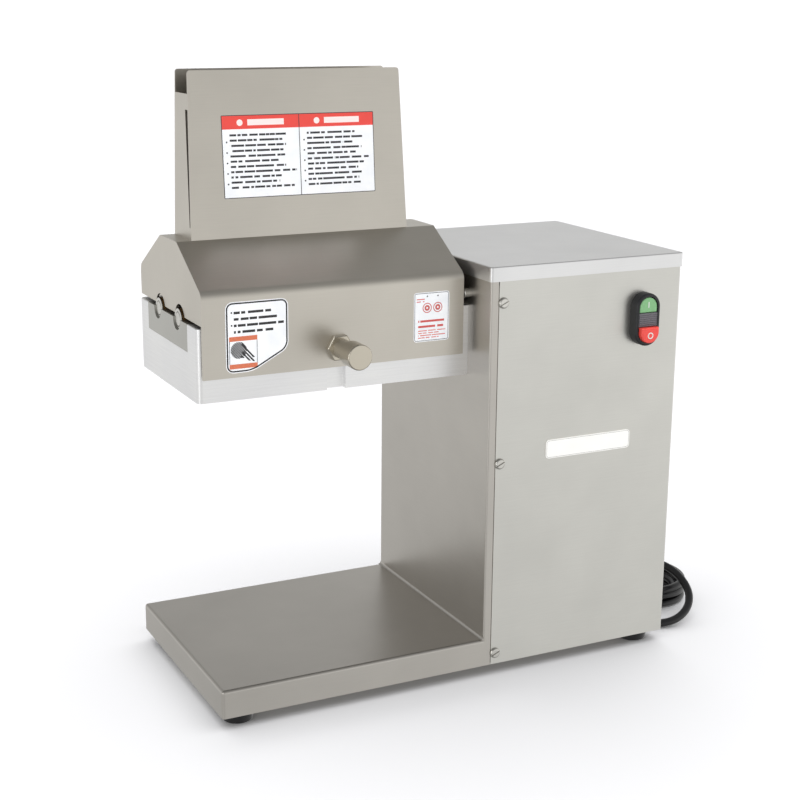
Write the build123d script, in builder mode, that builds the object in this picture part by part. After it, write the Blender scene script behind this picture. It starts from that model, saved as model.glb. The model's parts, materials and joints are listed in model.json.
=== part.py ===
"""Countertop electric meat tenderizer: a stainless cabinet on a platform, with a roller head and a feed chute.

The origin is under the middle of the machine, on the surface that it stands on.
+X runs along the rollers towards the motor cabinet, +Y from the operator to the back, +Z up.
"""

import os
from math import cos, pi, radians, sin, tan

from build123d import *

os.makedirs("parts", exist_ok=True)

# ---- driving sizes, in millimetres ----
cabinet_width = 230.4
cabinet_depth = 250.0
cabinet_height = 440.0
head_reach = 292.0
platform_reach = 291.0
platform_height = 42.5
foot_height = 13.0
foot_diameter = 34.0
foot_inset = 24.0

sheet = 2.0
cover_sheet = 1.5
bend_radius = 3.0
seam_from_corner = 8.7
seam_gap = 0.9
lid_overhang = 1.2
lid_clearance = 0.1
lid_skirt = 15.0
weld_radius = 3.0
fit_gap = 0.3

# ---- fasteners ----
pan_head_diameter = 11.6
pan_head_height = 2.5
pan_head_crown = 2.0
screw_slot_width = 1.4
screw_slot_depth = 1.2
cover_screw_diameter = 5.0
cover_screw_length = 10.0
cover_screw_from_corner = 14.5
cover_screw_heights = (25.6, 235.0, 403.0)
tap_drill = 4.2

# ---- head and rollers ----
head_setback = 46.0
roller_to_head_face = 58.0
head_bottom = 321.0
head_height = 73.0
head_wall = 12.0
head_end_wall = 14.0
head_corner_radius = 5.0
roller_spacing = 60.0
roller_height = 393.0
roller_end_diameter = 15.0
roller_body_diameter = 20.0
running_clearance = 0.05
bushing_wall = 3.0
cradle_width = 122.0
cradle_drop = 27.5
knife_diameter = 66.0
knife_tooth_depth = 4.0
knife_teeth = 30
knife_thickness = 1.6
knife_pitch = 13.0
knife_count = 18
spacer_diameter = 27.0
retaining_ring_width = 3.0
retaining_ring_thickness = 1.5
comb_finger_width = 5.0
comb_bar = 6.0
comb_drop = 47.0
comb_from_axis = 22.0
cradle_web = 5.0
cradle_web_drop = 38.0
tie_rod_diameter = 8.0
roller_gear_teeth = 20
roller_gear_width = 14.0

# ---- guard and chute ----
guard_gap = 3.6
guard_sheet = 2.0
guard_left_margin = 3.5
guard_right_margin = 8.8
guard_skirt_bottom = 345.0
guard_shoulder = 427.6
guard_roof = 467.7
guard_roof_depth = 51.0
guard_end_bottom = 397.0
guard_notch_radius = 14.7
guard_shoulder_radius = 10.0
chute_left_margin = 15.5
chute_right_margin = 31.2
chute_height = 161.0
chute_taper = 4.5
chute_lean = 13.0
chute_corner_radius = 3.0
chute_side_drop = 22.0
chute_tab = 15.0
chute_wedge = 7.0
hinge_pin_diameter = 6.0
hinge_behind = 9.0
hinge_below = 6.0

# ---- guard sensor ----
sensor_radius = 4.75
sensor_height = 407.0
sensor_from_front = 45.0
sensor_reach = 7.5

# ---- pull latch ----
latch_height = 365.0
latch_from_right = 148.0
latch_knob_diameter = 25.4
latch_pin_diameter = 8.0
latch_stem_diameter = 20.0
latch_flange_diameter = 25.0
latch_pull = 8.0
groove_width = 20.0
groove_depth = 7.0

# ---- pushbutton station ----
switch_from_right = 47.7
switch_height = 373.5
switch_width = 30.0
switch_length = 56.0
switch_bezel_reach = 12.0
stop_reach = 17.0
button_travel = 3.0

# ---- drive ----
output_teeth = 34
pinion_teeth = 14
drive_module = 2.0
gearbox_width = 38.0
gearbox_wall = 5.0
motor_diameter = 124.0
motor_height = 110.0
motor_from_front = 125.0
motor_length = 118.0
motor_pulley_diameter = 42.0
driven_pulley_diameter = 140.0
pulley_width = 20.0
belt_width = 10.0
belt_thickness = 8.0

# ---- cord ----
cord_diameter = 9.0
coil_columns = 2
coil_layers = 3
coil_radius = 54.5
coil_centre_from_wall = 57.0
coil_centre_from_front = 124.0
gland_height = 52.0
gland_from_front = 100.0

# ---- places worked out from the sizes ----
wall_x = head_reach - (head_reach + cabinet_width + lid_overhang) / 2
right_x = wall_x + cabinet_width
front_y = (stop_reach - cabinet_depth - pan_head_height) / 2
back_y = front_y + cabinet_depth
platform_left = wall_x - platform_reach
lid_underside = cabinet_height - cover_sheet
skirt_z = cabinet_height - lid_skirt
head_left = wall_x - head_reach
head_depth = roller_spacing + 2 * roller_to_head_face
head_y = front_y + head_setback + head_depth / 2
head_front = head_y - head_depth / 2
head_back = head_y + head_depth / 2
head_top = head_bottom + head_height
roller_ys = (head_y - roller_spacing / 2, head_y + roller_spacing / 2)
roller_module = roller_spacing / roller_gear_teeth
bushing_radius = roller_end_diameter / 2 + running_clearance + bushing_wall
cradle_bottom = head_top - cradle_drop
cradle_right = wall_x - fit_gap
guard_left = head_left + guard_left_margin
guard_right = wall_x - guard_right_margin
guard_front = head_front - guard_gap - guard_sheet
guard_back = head_back + guard_gap + guard_sheet
hinge_y = guard_back + hinge_behind
hinge_z = guard_end_bottom - hinge_below
latch_x = wall_x - latch_from_right
switch_x = right_x - switch_from_right
sensor_y = front_y + sensor_from_front
chute_left = guard_left + chute_left_margin
chute_right = guard_right - chute_right_margin
chute_front = head_y - guard_roof_depth / 2 + fit_gap
chute_back = head_y + guard_roof_depth / 2 - fit_gap
chute_top = guard_roof + chute_height


def across(x, y=0.0, z=0.0):
    """Plane whose sketch runs along Y and Z and which extrudes towards +X."""
    return Plane(origin=(x, y, z), x_dir=(0, 1, 0), z_dir=(1, 0, 0))


def facing(y, x=0.0, z=0.0):
    """Plane whose sketch runs along X and Z and which extrudes towards the operator."""
    return Plane(origin=(x, y, z), x_dir=(1, 0, 0), z_dir=(0, -1, 0))


def level(z, x=0.0, y=0.0):
    """Plane whose sketch runs along X and Y and which extrudes upwards."""
    return Plane(origin=(x, y, z), x_dir=(1, 0, 0), z_dir=(0, 0, 1))


def save(piece, node):
    """Label a finished piece and write it."""
    piece.part.label = node
    export_step(piece.part, f"parts/{node}.step")


def block(low, high, mode=Mode.ADD):
    """Box between two corners, added to or cut from the part being built."""
    size = [b - a for a, b in zip(low, high)]
    centre = tuple((a + b) / 2 for a, b in zip(low, high))
    with Locations(centre):
        Box(*size, mode=mode)


def rod(start_x, end_x, y, z, radius, mode=Mode.ADD):
    """Round bar along X, added to or cut from the part being built."""
    with BuildSketch(across(start_x, y, z)) as disc:
        Circle(radius)
    extrude(disc.sketch, amount=end_x - start_x, mode=mode)


def gear_outline(teeth, module, turn):
    """Corner points of a spur gear with straight-sided teeth and generous backlash."""
    pitch_radius = teeth * module / 2
    levels = ((-1.25, 0.56), (0.0, 0.42), (0.9, 0.20))
    points = []
    for tooth in range(teeth):
        middle = turn + 360.0 * tooth / teeth
        for side in (-1, 1):
            for depth, share in levels[:: -side]:
                radius = pitch_radius + depth * module
                angle = radians(middle + side * share * 180.0 / teeth)
                points.append((radius * cos(angle), radius * sin(angle)))
    return points


def ring(start_x, end_x, y, z, outer, inner):
    """Plain ring along X in the part being built."""
    with BuildSketch(across(start_x, y, z)) as washer:
        Circle(outer)
        Circle(inner, mode=Mode.SUBTRACT)
    extrude(washer.sketch, amount=end_x - start_x)


# ---- base frame: folded platform, cabinet wall and its front and back flanges ----
tab_end = cover_screw_from_corner + 8.0
with BuildPart() as base_frame:
    block((platform_left, front_y, foot_height), (wall_x, back_y, platform_height))
    fillet(base_frame.edges().filter_by(Axis.Z).group_by(Axis.X)[0], bend_radius)
    fillet(base_frame.faces().sort_by(Axis.Z)[-1].edges().sort_by(Axis.X)[:-1], bend_radius)
    block(
        (platform_left + sheet, front_y + sheet, foot_height),
        (wall_x, back_y - sheet, platform_height - sheet),
        Mode.SUBTRACT,
    )
    block((wall_x, front_y, foot_height), (wall_x + seam_from_corner, back_y, lid_underside - fit_gap))
    fillet(base_frame.edges().filter_by(Axis.Z).group_by(Axis.X)[-2], sheet)
    with BuildSketch(facing(back_y)):
        with BuildLine():
            corner = (wall_x, platform_height)
            foot_end = (wall_x - weld_radius, platform_height)
            wall_end = (wall_x, platform_height + weld_radius)
            Line(wall_end, corner)
            Line(corner, foot_end)
            RadiusArc(foot_end, wall_end, -weld_radius)
        make_face()
    extrude(amount=cabinet_depth)
    block(
        (wall_x + sheet, front_y + sheet, foot_height),
        (wall_x + seam_from_corner, back_y - sheet, lid_underside),
        Mode.SUBTRACT,
    )
    block(
        (wall_x - 1, front_y + 2 * sheet - fit_gap, foot_height),
        (wall_x + sheet + 1, back_y - 2 * sheet + fit_gap, foot_height + sheet + fit_gap),
        Mode.SUBTRACT,
    )
    for side_y, inward in ((front_y, 1), (back_y, -1)):
        tab_face = side_y + inward * cover_sheet
        tab_back = tab_face + inward * sheet
        low_y = min(tab_face, tab_back)
        block(
            (wall_x + seam_from_corner - sheet, low_y, foot_height + 4),
            (wall_x + tab_end, low_y + sheet, skirt_z - 4),
        )
        for z in cover_screw_heights:
            with BuildSketch(facing(max(tab_face, tab_back), wall_x + cover_screw_from_corner, z)):
                Circle(tap_drill / 2)
            extrude(amount=sheet, mode=Mode.SUBTRACT)
    for y in roller_ys:
        rod(wall_x - 1, wall_x + sheet + 1, y, roller_height, bushing_radius + 2, Mode.SUBTRACT)
    rod(wall_x - 1, wall_x + sheet + 1, sensor_y, sensor_height, sensor_radius + 0.1, Mode.SUBTRACT)
    bolt_spots = [(y, z) for y in (head_front + 8, head_back - 8) for z in (head_bottom + 12, cradle_bottom)]
    for y, z in bolt_spots:
        rod(wall_x - 1, wall_x + sheet + 1, y, z, 3.3, Mode.SUBTRACT)
save(base_frame, "base_frame")

# ---- bottom plate ----
foot_spots = [
    (platform_left + foot_inset, front_y + foot_inset),
    (right_x - foot_inset, front_y + foot_inset),
    (platform_left + foot_inset, back_y - foot_inset),
    (right_x - foot_inset, back_y - foot_inset),
]
foot_screw_radius = 3.0
with BuildPart() as bottom_plate:
    block(
        (platform_left + sheet + fit_gap, front_y + 2 * sheet, foot_height),
        (right_x - sheet - fit_gap, back_y - 2 * sheet, foot_height + sheet),
    )
    with Locations(*[(x, y, foot_height + sheet) for x, y in foot_spots]):
        Hole(foot_screw_radius + 0.2, depth=sheet)
save(bottom_plate, "bottom_plate")

# ---- feet, each with a screw sunk in from below ----
foot_names = ("foot_front_left", "foot_front_right", "foot_rear_left", "foot_rear_right")
foot_recess_radius = 7.0
for name, (x, y) in zip(foot_names, foot_spots):
    with BuildPart() as foot:
        with BuildSketch(level(0, x, y)):
            Circle(foot_diameter / 2 - 2)
        with BuildSketch(level(foot_height, x, y)):
            Circle(foot_diameter / 2)
        loft()
        fillet(foot.faces().sort_by(Axis.Z)[0].edges(), 1.5)
        with Locations((x, y, 0)):
            Cylinder(foot_recess_radius, 12, mode=Mode.SUBTRACT)
            Cylinder(foot_screw_radius + 0.2, 4 * foot_height, mode=Mode.SUBTRACT)
    save(foot, name)

with BuildPart() as foot_screws:
    for x, y in foot_spots:
        with BuildSketch(level(3, x, y)):
            Circle(foot_recess_radius - 1)
        extrude(amount=3)
        with BuildSketch(level(6, x, y)):
            Circle(foot_screw_radius)
        extrude(amount=foot_height)
save(foot_screws, "foot_screws")

# ---- cabinet cover: front, right side and back in one folded sheet ----
cover_left = wall_x + seam_from_corner + seam_gap
with BuildPart() as side_cover:
    block((cover_left, front_y, foot_height), (right_x, back_y, lid_underside - fit_gap))
    fillet(side_cover.edges().filter_by(Axis.Z).group_by(Axis.X)[-1], bend_radius)
    block(
        (cover_left - 1, front_y + cover_sheet, foot_height),
        (right_x - cover_sheet, back_y - cover_sheet, lid_underside),
        Mode.SUBTRACT,
    )
    for z in cover_screw_heights:
        with BuildSketch(facing(back_y + 1, wall_x + cover_screw_from_corner, z)):
            Circle(cover_screw_diameter / 2 + 0.2)
        extrude(amount=cabinet_depth + 2, mode=Mode.SUBTRACT)
    with BuildSketch(facing(front_y + cover_sheet, switch_x, switch_height)):
        SlotCenterToCenter(switch_length - switch_width, switch_width - 6, rotation=90)
    extrude(amount=cover_sheet, mode=Mode.SUBTRACT)
    rod(right_x - 2 * cover_sheet, right_x + 1, front_y + gland_from_front, gland_height, 8.3, Mode.SUBTRACT)
save(side_cover, "side_cover")

with BuildPart() as top_lid:
    block(
        (wall_x - lid_overhang, front_y - lid_overhang, skirt_z),
        (right_x + lid_overhang, back_y + lid_overhang, cabinet_height),
    )
    fillet(top_lid.edges().filter_by(Axis.Z), bend_radius)
    fillet(top_lid.faces().sort_by(Axis.Z)[-1].edges(), 1.2)
    block(
        (wall_x - lid_clearance, front_y - lid_clearance, skirt_z),
        (right_x + lid_clearance, back_y + lid_clearance, lid_underside),
        Mode.SUBTRACT,
    )
save(top_lid, "top_lid")

with BuildPart() as cover_screws:
    for side_y, outward in ((front_y, -1), (back_y, 1)):
        for z in cover_screw_heights:
            head_plane = Plane(
                origin=(wall_x + cover_screw_from_corner, side_y, z),
                x_dir=(1, 0, 0),
                z_dir=(0, outward, 0),
            )
            with BuildSketch(head_plane):
                Circle(pan_head_diameter / 2)
            extrude(amount=pan_head_height)
            head_top_centre = head_plane.offset(pan_head_height).origin
            rims = cover_screws.edges().filter_by(GeomType.CIRCLE)
            fillet(rims.sort_by_distance(head_top_centre)[0], pan_head_crown)
            with BuildSketch(head_plane):
                Circle(tap_drill / 2 - 0.02)
            extrude(amount=-cover_screw_length)
            with BuildSketch(head_plane.offset(pan_head_height)):
                Rectangle(pan_head_diameter, screw_slot_width, rotation=25)
            extrude(amount=-screw_slot_depth, mode=Mode.SUBTRACT)
save(cover_screws, "cover_screws")

badge_width = 104.0
badge_height = 20.0
badge_thickness = 0.8
badge_x = right_x - 109.0
badge_z = 243.5
with BuildPart() as badge_plate:
    with BuildSketch(facing(front_y, badge_x, badge_z)):
        RectangleRounded(badge_width, badge_height, 4)
    extrude(amount=badge_thickness)
    chamfer(badge_plate.faces().sort_by(Axis.Y)[0].edges(), 0.25)
save(badge_plate, "badge_plate")

# ---- pushbutton station ----
lobe = (switch_length - switch_width) / 2
button_gap = 0.5
button_radius = switch_width / 2 - 4
sleeve_depth = 14.0
with BuildPart() as switch_bezel:
    with BuildSketch(facing(front_y, switch_x, switch_height)):
        SlotCenterToCenter(2 * lobe, switch_width, rotation=90)
    extrude(amount=switch_bezel_reach)
    fillet(switch_bezel.faces().sort_by(Axis.Y)[0].edges(), 2.5)
    with BuildSketch(facing(front_y + sleeve_depth, switch_x, switch_height)):
        SlotCenterToCenter(2 * lobe, switch_width - 6.6, rotation=90)
    extrude(amount=sleeve_depth)
    with BuildSketch(facing(front_y + sleeve_depth, switch_x, switch_height)):
        SlotCenterToCenter(2 * lobe, 2 * (button_radius + button_gap), rotation=90)
    extrude(amount=sleeve_depth + switch_bezel_reach, mode=Mode.SUBTRACT)
save(switch_bezel, "switch_bezel")

lens_half = 7.2
button_back = 10.0


def button(sign, reach):
    """Half-round button that fills one end of the station."""
    with BuildPart() as cap:
        with BuildSketch(facing(front_y + button_back, switch_x, switch_height)):
            SlotCenterToCenter(2 * lobe, 2 * button_radius, rotation=90)
            with Locations((0, -sign * (switch_length / 2 - lens_half - button_gap))):
                Rectangle(switch_width, switch_length, mode=Mode.SUBTRACT)
        extrude(amount=button_back + reach)
        fillet(cap.faces().sort_by(Axis.Y)[0].edges(), 1.5)
    return cap


start_button = button(1, switch_bezel_reach - 0.5)
save(start_button, "start_button")
stop_button = button(-1, stop_reach)
save(stop_button, "stop_button")

with BuildPart() as switch_lens:
    with BuildSketch(facing(front_y + 12, switch_x, switch_height)):
        Rectangle(2 * (button_radius + button_gap), 2 * lens_half)
    extrude(amount=12 + switch_bezel_reach)
    fillet(switch_lens.faces().sort_by(Axis.Y)[0].edges().filter_by(Axis.X), 1.0)
save(switch_lens, "switch_lens")

contact_half = 12.0
contact_depth = 34.0
contact_start = front_y + button_back + 2 * button_travel
with BuildPart() as contact_blocks:
    for sign in (-1, 1):
        centre_z = switch_height + sign * (contact_half + 4)
        block(
            (switch_x - contact_half, contact_start, centre_z - contact_half),
            (switch_x + contact_half, contact_start + contact_depth, centre_z + contact_half),
        )
save(contact_blocks, "contact_blocks")

# ---- head housing: an open casting bolted to the cabinet wall ----
head_inner_left = head_left + head_end_wall
head_inner_right = wall_x - head_end_wall
with BuildPart() as head_housing:
    block((head_left, head_front, head_bottom), (wall_x, head_back, head_top))
    fillet(head_housing.edges().filter_by(Axis.Z).group_by(Axis.X)[0], head_corner_radius)
    fillet(head_housing.faces().sort_by(Axis.X)[0].edges().sort_by(Axis.Z)[-1], 1.0)
    block(
        (head_inner_left, head_front + head_wall, head_bottom),
        (head_inner_right, head_back - head_wall, head_top),
        Mode.SUBTRACT,
    )
    fillet(
        head_housing.edges().filter_by(Axis.Z).filter_by_position(
            Axis.X, head_inner_left - 1, head_inner_right + 1
        ),
        head_corner_radius,
    )
    block(
        (head_left - 1, head_y - cradle_width / 2, cradle_bottom),
        (wall_x + 1, head_y + cradle_width / 2, head_top + 1),
        Mode.SUBTRACT,
    )
    block(
        (latch_x - groove_width / 2, head_front, head_bottom),
        (latch_x + groove_width / 2, head_front + groove_depth, head_top),
        Mode.SUBTRACT,
    )
    for y, z in bolt_spots:
        rod(wall_x - head_end_wall - 1, wall_x + 1, y, z, 2.5, Mode.SUBTRACT)
save(head_housing, "head_housing")

with BuildPart() as head_bolts:
    for y, z in bolt_spots:
        rod(wall_x - head_end_wall + 1, wall_x + sheet, y, z, 2.48)
        with BuildSketch(across(wall_x + sheet, y, z)):
            RegularPolygon(6.5, 6)
        extrude(amount=5)
save(head_bolts, "head_bolts")

# ---- lift-out cradle: two bearing plates, tie rods and the two combs ----
tie_height = cradle_bottom - cradle_web_drop + tie_rod_diameter
tie_spots = [(head_y + side * (roller_spacing / 2 + 14), tie_height) for side in (-1, 1)]


def cradle_plate(start_x, end_x, web_start):
    """Bearing plate that drops into a notch of the head, with a web inside it and a slot for each roller."""
    with BuildPart() as plate:
        block(
            (start_x, head_y - cradle_width / 2 + fit_gap / 3, cradle_bottom + fit_gap / 3),
            (end_x, head_y + cradle_width / 2 - fit_gap / 3, head_top),
        )
        block(
            (web_start, head_y - cradle_width / 2, cradle_bottom - cradle_web_drop),
            (web_start + cradle_web, head_y + cradle_width / 2, head_top),
        )
        low_x = min(start_x, web_start)
        high_x = max(end_x, web_start + cradle_web)
        for y in roller_ys:
            rod(low_x, high_x, y, roller_height, bushing_radius, Mode.SUBTRACT)
            block((low_x, y - bushing_radius, roller_height), (high_x, y + bushing_radius, head_top), Mode.SUBTRACT)
        for y, z in tie_spots:
            rod(low_x, high_x, y, z, tie_rod_diameter / 2, Mode.SUBTRACT)
    return plate


left_web = head_inner_left + fit_gap / 3
right_web = head_inner_right - fit_gap / 3 - cradle_web
left_plate = cradle_plate(head_left, left_web, left_web)
save(left_plate, "cradle_left_plate")
right_plate = cradle_plate(right_web + cradle_web, cradle_right, right_web)
save(right_plate, "cradle_right_plate")

with BuildPart() as roller_bushings:
    for start_x, end_x in ((head_left + 3, head_inner_left), (head_inner_right, cradle_right - 1)):
        for y in roller_ys:
            inner = roller_end_diameter / 2 + running_clearance
            ring(start_x, end_x, y, roller_height, bushing_radius, inner)
save(roller_bushings, "roller_bushings")

with BuildPart() as cradle_tie_rods:
    for y, z in tie_spots:
        rod(left_web, right_web + cradle_web, y, z, tie_rod_diameter / 2)
save(cradle_tie_rods, "cradle_tie_rods")

knife_start = head_inner_left + 9.0
knife_xs = [knife_start + knife_pitch * index for index in range(knife_count)]


def comb(side, name):
    """Stripper comb: a bar under its roller with a finger up into every space between knives."""
    shift = 0.0 if side < 0 else knife_pitch / 2
    axis_y = head_y + side * roller_spacing / 2
    clear = spacer_diameter / 2 + 2
    profile = (
        (comb_from_axis, -comb_drop),
        (comb_from_axis + comb_bar, -comb_drop),
        (comb_from_axis + comb_bar, -comb_drop / 2),
        (clear + 2, -2.0),
        (clear - 3, -clear + 5),
    )
    with BuildPart() as teeth:
        low_y, high_y = sorted((axis_y + side * comb_from_axis, axis_y + side * (comb_from_axis + comb_bar)))
        block(
            (left_web + cradle_web, low_y, roller_height - comb_drop - comb_bar),
            (right_web, high_y, roller_height - comb_drop + comb_bar),
        )
        for x in knife_xs[:-1]:
            with BuildSketch(across(x + shift + (knife_pitch - comb_finger_width) / 2, axis_y, roller_height)):
                Polygon(*[(side * out, up) for out, up in profile], align=None)
            extrude(amount=comb_finger_width)
    save(teeth, name)


comb(-1, "comb_front")
comb(1, "comb_rear")

# ---- rollers ----
gear_start = right_web - fit_gap - roller_gear_width
shaft_left = head_left + 1.5
shaft_right = wall_x + 8.0
dog_width = 6.0
dog_length = 6.0
dog_clearance = 0.4
for side, name in ((-1, "front"), (1, "rear")):
    y = head_y + side * roller_spacing / 2
    shift = 0.0 if side < 0 else knife_pitch / 2
    count = knife_count if side < 0 else knife_count - 1
    with BuildPart() as roller_shaft:
        end_radius = roller_end_diameter / 2
        rod(shaft_left, shaft_right, y, roller_height, end_radius)
        body_start = left_web + cradle_web + fit_gap
        rod(body_start, right_web - fit_gap, y, roller_height, roller_body_diameter / 2)
        chamfer(roller_shaft.faces().sort_by(Axis.X)[0].edges(), 1.0)
        if side < 0:
            block(
                (shaft_right - dog_length, y - dog_width / 2 - dog_clearance, roller_height - roller_end_diameter),
                (shaft_right, y + dog_width / 2 + dog_clearance, roller_height + roller_end_diameter),
                Mode.SUBTRACT,
            )
    save(roller_shaft, f"{name}_roller_shaft")
    with BuildPart() as knives:
        outline = []
        for tooth in range(knife_teeth):
            for part_turn, radius in ((0.0, knife_diameter / 2), (0.5, knife_diameter / 2 - knife_tooth_depth)):
                angle = 2 * pi * (tooth + part_turn) / knife_teeth
                outline.append((radius * cos(angle), radius * sin(angle)))
        for x in knife_xs[:count]:
            with BuildSketch(across(x + shift - knife_thickness / 2, y, roller_height)):
                Polygon(*outline, align=None)
                Circle(roller_body_diameter / 2, mode=Mode.SUBTRACT)
            extrude(amount=knife_thickness)
    save(knives, f"{name}_roller_knives")
    with BuildPart() as spacers:
        for x in knife_xs[: count - 1]:
            start_x = x + shift + knife_thickness / 2
            end_x = x + shift + knife_pitch - knife_thickness / 2
            ring(start_x, end_x, y, roller_height, spacer_diameter / 2, roller_body_diameter / 2)
    save(spacers, f"{name}_roller_spacers")
    with BuildPart() as retaining_ring:
        ring_end = head_left + 3 - fit_gap / 3
        start_x = ring_end - retaining_ring_thickness + fit_gap
        ring(start_x, ring_end, y, roller_height, end_radius + retaining_ring_width, end_radius)
    save(retaining_ring, f"{name}_retaining_ring")
    with BuildPart() as roller_gear:
        turn = 0.0 if side < 0 else 180.0 / roller_gear_teeth
        with BuildSketch(across(gear_start, y, roller_height)):
            Polygon(*gear_outline(roller_gear_teeth, roller_module, turn), align=None)
            Circle(roller_body_diameter / 2, mode=Mode.SUBTRACT)
        extrude(amount=roller_gear_width)
    save(roller_gear, f"{name}_roller_gear")

# ---- reduction gearbox behind the cabinet wall ----
gear_y = roller_ys[0]
input_z = roller_height - drive_module * (output_teeth + pinion_teeth) / 2
gearbox_start = shaft_right + 3.0
gearbox_end = gearbox_start + gearbox_width
gear_tip = drive_module * (output_teeth / 2 + 1)
pinion_tip = drive_module * (pinion_teeth / 2 + 1)
journal_radius = 7.5
post_radius = 6.0
post_inset = 8.0
shell_bottom = input_z - pinion_tip - gearbox_wall - 1
shell_half = gear_tip + gearbox_wall + 1
with BuildPart() as gearbox_housing:
    with BuildSketch(across(gearbox_start, gear_y)):
        with Locations((0, (roller_height + gear_tip + gearbox_wall + shell_bottom) / 2)):
            RectangleRounded(2 * shell_half, roller_height + gear_tip + gearbox_wall - shell_bottom, 12)
    extrude(amount=gearbox_width)
    inner_start = gearbox_start + gearbox_wall
    inner_end = gearbox_end - gearbox_wall
    rod(inner_start, inner_end, gear_y, roller_height, gear_tip + 1, Mode.SUBTRACT)
    rod(inner_start, inner_end, gear_y, input_z, pinion_tip + 1, Mode.SUBTRACT)
    for z in (roller_height, input_z):
        rod(gearbox_start, gearbox_end, gear_y, z, journal_radius + running_clearance, Mode.SUBTRACT)
    for side in (-1, 1):
        for z in (shell_bottom + post_inset, roller_height + gear_tip - post_radius):
            rod(wall_x + sheet, gearbox_start, gear_y + side * (shell_half - post_inset), z, post_radius)
save(gearbox_housing, "gearbox_housing")

gear_face = inner_start + 1.0
gear_width = inner_end - inner_start - 2.0
with BuildPart() as output_shaft:
    rod(shaft_right + 0.5, gearbox_end, gear_y, roller_height, journal_radius)
    dog_start = shaft_right - dog_length + 0.5
    tongue = journal_radius - 1.5
    block(
        (dog_start, gear_y - dog_width / 2, roller_height - tongue),
        (shaft_right + 1, gear_y + dog_width / 2, roller_height + tongue),
    )
    with BuildSketch(across(gear_face, gear_y, roller_height)):
        Polygon(*gear_outline(output_teeth, drive_module, -90.0), align=None)
    extrude(amount=gear_width)
save(output_shaft, "output_shaft")

belt_x = gearbox_end + 6.0 + pulley_width / 2
pulley_start = belt_x - pulley_width / 2
with BuildPart() as input_shaft:
    rod(gearbox_start, belt_x + pulley_width / 2 + 3, gear_y, input_z, journal_radius)
    with BuildSketch(across(gear_face, gear_y, input_z)):
        Polygon(*gear_outline(pinion_teeth, drive_module, 90.0 + 180.0 / pinion_teeth), align=None)
    extrude(amount=gear_width)
save(input_shaft, "input_shaft")

# ---- belt drive ----
motor_y = front_y + motor_from_front
motor_z = motor_height
belt_clear = 0.4
belt_flank = 2.0
groove = belt_thickness + 1.0


def pulley(y, z, diameter, bore, name):
    """Grooved V-belt pulley on a shaft along X."""
    with BuildPart() as wheel:
        ring(pulley_start, pulley_start + pulley_width, y, z, diameter / 2, bore)
        half = belt_width / 2 + belt_clear
        ring_plane = Plane(origin=(belt_x, y, z), x_dir=(1, 0, 0), z_dir=(0, -1, 0))
        with BuildSketch(ring_plane):
            with BuildLine():
                Polyline(
                    (-half - 1, diameter / 2 + 1),
                    (half + 1, diameter / 2 + 1),
                    (half - belt_flank, diameter / 2 - groove),
                    (-half + belt_flank, diameter / 2 - groove),
                    close=True,
                )
            make_face()
        revolve(axis=Axis((belt_x, y, z), (1, 0, 0)), mode=Mode.SUBTRACT)
        if diameter > 100:
            with BuildSketch(across(pulley_start, y, z)):
                with PolarLocations(diameter * 0.27, 6):
                    Circle(diameter * 0.09)
            extrude(amount=pulley_width, mode=Mode.SUBTRACT)
    save(wheel, name)


motor_shaft_radius = 7.0
pulley(gear_y, input_z, driven_pulley_diameter, journal_radius, "driven_pulley")
pulley(motor_y, motor_z, motor_pulley_diameter, motor_shaft_radius, "motor_pulley")

belt_inner = groove - belt_clear
span_y = motor_y - gear_y
span_z = motor_z - input_z
with BuildPart() as v_belt:
    for grow, mode in ((belt_thickness, Mode.ADD), (0.0, Mode.SUBTRACT)):
        big = driven_pulley_diameter / 2 - belt_inner + grow
        small = motor_pulley_diameter / 2 - belt_inner + grow
        with BuildSketch(across(belt_x - belt_width / 2 + belt_flank, gear_y, input_z)):
            Circle(big)
            with Locations((span_y, span_z)):
                Circle(small)
            make_hull()
        extrude(amount=belt_width - 2 * belt_flank, mode=mode)
save(v_belt, "v_belt")

# ---- motor ----
motor_start = pulley_start + pulley_width + 8.0
motor_end = motor_start + motor_length
bell = 10.0
frame_wall = 5.0
bearing_radius = motor_shaft_radius + running_clearance
rotor_radius = 25.0
core_start = motor_start + bell + 18
core_end = motor_end - bell - 18
with BuildPart() as motor_frame:
    ring(motor_start + bell, motor_end - bell, motor_y, motor_z, motor_diameter / 2, motor_diameter / 2 - frame_wall)
    ring(core_start, core_end, motor_y, motor_z, motor_diameter / 2 - frame_wall, rotor_radius + 1)
save(motor_frame, "motor_frame")

with BuildPart() as motor_end_bells:
    for start_x in (motor_start, motor_end - bell):
        ring(start_x, start_x + bell, motor_y, motor_z, motor_diameter / 2, bearing_radius)
save(motor_end_bells, "motor_end_bells")

with BuildPart() as motor_rotor:
    rod(pulley_start - 2, motor_end + 16, motor_y, motor_z, motor_shaft_radius)
    rod(core_start, core_end, motor_y, motor_z, rotor_radius)
save(motor_rotor, "motor_rotor")

fan_start = motor_end + 3
fan_radius = 42.0
fan_disc = 3.0
blade_reach = 30.0
with BuildPart() as motor_fan:
    ring(fan_start, fan_start + fan_disc, motor_y, motor_z, fan_radius, motor_shaft_radius)
    with BuildSketch(across(fan_start + fan_disc / 2, motor_y, motor_z)):
        with PolarLocations(fan_radius - blade_reach / 2 - 1, 8):
            Rectangle(blade_reach, 2.5)
    extrude(amount=10)
save(motor_fan, "motor_fan")

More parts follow.
